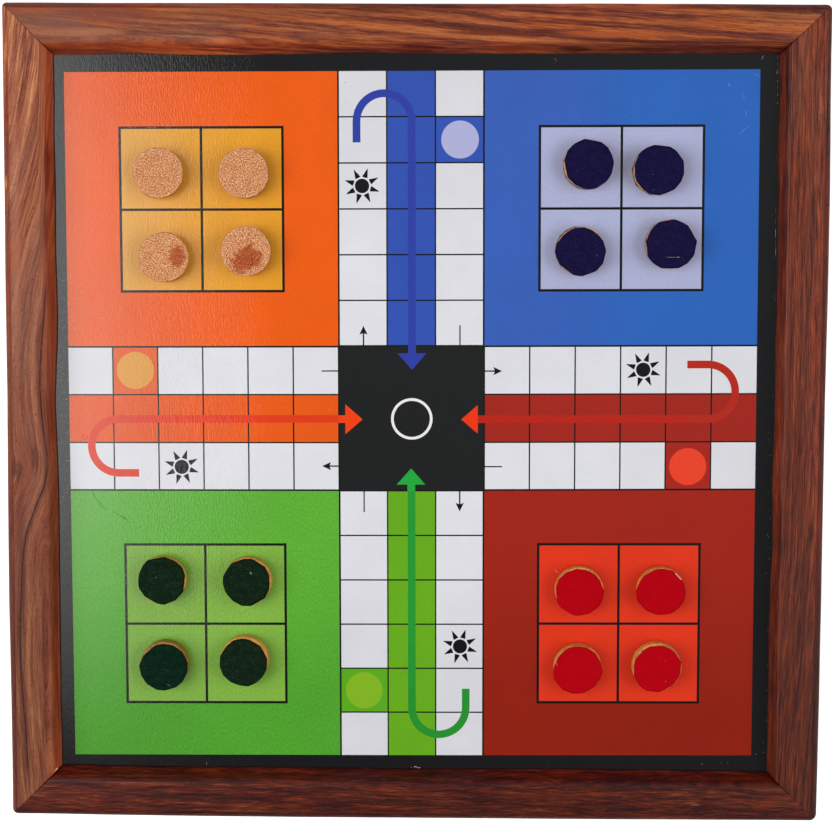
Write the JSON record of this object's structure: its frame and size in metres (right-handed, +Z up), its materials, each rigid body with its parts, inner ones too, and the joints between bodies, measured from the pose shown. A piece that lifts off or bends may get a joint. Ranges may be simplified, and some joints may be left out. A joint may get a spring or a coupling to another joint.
{
  "type": "race board game",
  "caption": "Square board game: mitred hardwood tray around a printed, steel-backed play sheet, with round velvet-topped magnetic counters in four home yards.",
  "frame": {"origin": "centre of the tray's square footprint, on the surface it stands on", "axes": "+Z up out of the play sheet, +Y towards the far rail, +X to the player's right"},
  "size_m": [0.305, 0.305, 0.02],
  "materials": {
    "rosewood": "oiled and waxed, open grain",
    "laminated_print": "printed sheet under a fine orange-peel laminate",
    "tinned_steel": "mill",
    "fibreboard": "raw",
    "plywood": "sanded, unfinished",
    "nail_steel": "bright",
    "counter_wood": "turned, clear varnish",
    "flexible_magnet": "matt",
    "velvet_tan": "napped velour, rubbed",
    "velvet_blue": "short velvet pile",
    "velvet_green": "short velvet pile",
    "velvet_red": "short velvet pile"
  },
  "bodies": {
    "board": {"rail_near": "rosewood", "rail_right": "rosewood", "rail_far": "rosewood", "rail_left": "rosewood", "back_panel_brads": "nail_steel", "mitre_v_nails": "nail_steel", "play_sheet": "laminated_print", "steel_sheet": "tinned_steel", "core_board": "fibreboard", "back_panel": "plywood"},
    "counter_tan_1": {"disc_tan_1": "counter_wood", "velvet_tan_1": "velvet_tan", "magnet_tan_1": "flexible_magnet"},
    "counter_tan_2": {"disc_tan_2": "counter_wood", "velvet_tan_2": "velvet_tan", "magnet_tan_2": "flexible_magnet"},
    "counter_tan_3": {"disc_tan_3": "counter_wood", "velvet_tan_3": "velvet_tan", "magnet_tan_3": "flexible_magnet"},
    "counter_tan_4": {"disc_tan_4": "counter_wood", "velvet_tan_4": "velvet_tan", "magnet_tan_4": "flexible_magnet"},
    "counter_blue_1": {"disc_blue_1": "counter_wood", "velvet_blue_1": "velvet_blue", "magnet_blue_1": "flexible_magnet"},
    "counter_blue_2": {"disc_blue_2": "counter_wood", "velvet_blue_2": "velvet_blue", "magnet_blue_2": "flexible_magnet"},
    "counter_blue_3": {"disc_blue_3": "counter_wood", "velvet_blue_3": "velvet_blue", "magnet_blue_3": "flexible_magnet"},
    "counter_blue_4": {"disc_blue_4": "counter_wood", "velvet_blue_4": "velvet_blue", "magnet_blue_4": "flexible_magnet"},
    "counter_green_1": {"disc_green_1": "counter_wood", "velvet_green_1": "velvet_green", "magnet_green_1": "flexible_magnet"},
    "counter_green_2": {"disc_green_2": "counter_wood", "velvet_green_2": "velvet_green", "magnet_green_2": "flexible_magnet"},
    "counter_green_3": {"disc_green_3": "counter_wood", "velvet_green_3": "velvet_green", "magnet_green_3": "flexible_magnet"},
    "counter_green_4": {"disc_green_4": "counter_wood", "velvet_green_4": "velvet_green", "magnet_green_4": "flexible_magnet"},
    "counter_red_1": {"disc_red_1": "counter_wood", "velvet_red_1": "velvet_red", "magnet_red_1": "flexible_magnet"},
    "counter_red_2": {"disc_red_2": "counter_wood", "velvet_red_2": "velvet_red", "magnet_red_2": "flexible_magnet"},
    "counter_red_3": {"disc_red_3": "counter_wood", "velvet_red_3": "velvet_red", "magnet_red_3": "flexible_magnet"},
    "counter_red_4": {"disc_red_4": "counter_wood", "velvet_red_4": "velvet_red", "magnet_red_4": "flexible_magnet"}
  },
  "joints": [
    {"name": "lift_tan_1", "type": "slide", "parent": "board", "child": "counter_tan_1", "axis": [0, 0, 1], "range_m": [0, 0.03]},
    {"name": "lift_tan_2", "type": "slide", "parent": "board", "child": "counter_tan_2", "axis": [0, 0, 1], "range_m": [0, 0.03]},
    {"name": "lift_tan_3", "type": "slide", "parent": "board", "child": "counter_tan_3", "axis": [0, 0, 1], "range_m": [0, 0.03]},
    {"name": "lift_tan_4", "type": "slide", "parent": "board", "child": "counter_tan_4", "axis": [0, 0, 1], "range_m": [0, 0.03]},
    {"name": "lift_blue_1", "type": "slide", "parent": "board", "child": "counter_blue_1", "axis": [0, 0, 1], "range_m": [0, 0.03]},
    {"name": "lift_blue_2", "type": "slide", "parent": "board", "child": "counter_blue_2", "axis": [0, 0, 1], "range_m": [0, 0.03]},
    {"name": "lift_blue_3", "type": "slide", "parent": "board", "child": "counter_blue_3", "axis": [0, 0, 1], "range_m": [0, 0.03]},
    {"name": "lift_blue_4", "type": "slide", "parent": "board", "child": "counter_blue_4", "axis": [0, 0, 1], "range_m": [0, 0.03]},
    {"name": "lift_green_1", "type": "slide", "parent": "board", "child": "counter_green_1", "axis": [0, 0, 1], "range_m": [0, 0.03]},
    {"name": "lift_green_2", "type": "slide", "parent": "board", "child": "counter_green_2", "axis": [0, 0, 1], "range_m": [0, 0.03]},
    {"name": "lift_green_3", "type": "slide", "parent": "board", "child": "counter_green_3", "axis": [0, 0, 1], "range_m": [0, 0.03]},
    {"name": "lift_green_4", "type": "slide", "parent": "board", "child": "counter_green_4", "axis": [0, 0, 1], "range_m": [0, 0.03]},
    {"name": "lift_red_1", "type": "slide", "parent": "board", "child": "counter_red_1", "axis": [0, 0, 1], "range_m": [0, 0.03]},
    {"name": "lift_red_2", "type": "slide", "parent": "board", "child": "counter_red_2", "axis": [0, 0, 1], "range_m": [0, 0.03]},
    {"name": "lift_red_3", "type": "slide", "parent": "board", "child": "counter_red_3", "axis": [0, 0, 1], "range_m": [0, 0.03]},
    {"name": "lift_red_4", "type": "slide", "parent": "board", "child": "counter_red_4", "axis": [0, 0, 1], "range_m": [0, 0.03]}
  ]
}
